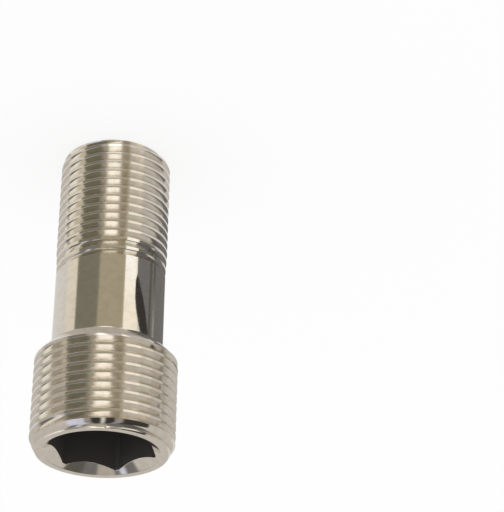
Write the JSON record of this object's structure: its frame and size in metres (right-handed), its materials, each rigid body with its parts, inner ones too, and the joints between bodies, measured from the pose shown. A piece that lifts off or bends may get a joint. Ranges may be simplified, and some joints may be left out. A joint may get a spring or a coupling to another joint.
{
  "type": "straight coupling",
  "caption": "Straight plated coupling for joining pipes: a wide male thread with a hexagon key socket in its mouth, a plain neck, a narrow male thread and a water way through it.",
  "frame": {"origin": "centre of the narrow end's face, which is also the centre of the bottom of the box, as the coupling stands on that face", "axes": "+Z along the water way from the narrow end up to the wide end; the key socket's flats face +X and -X and two of its corners lie on the Y axis"},
  "size_m": [0.0264, 0.0264, 0.06],
  "materials": {
    "plating": "polished, bright warm-toned plating on brass"
  },
  "bodies": {
    "root": {"coupling": "plating"}
  },
  "joints": []
}
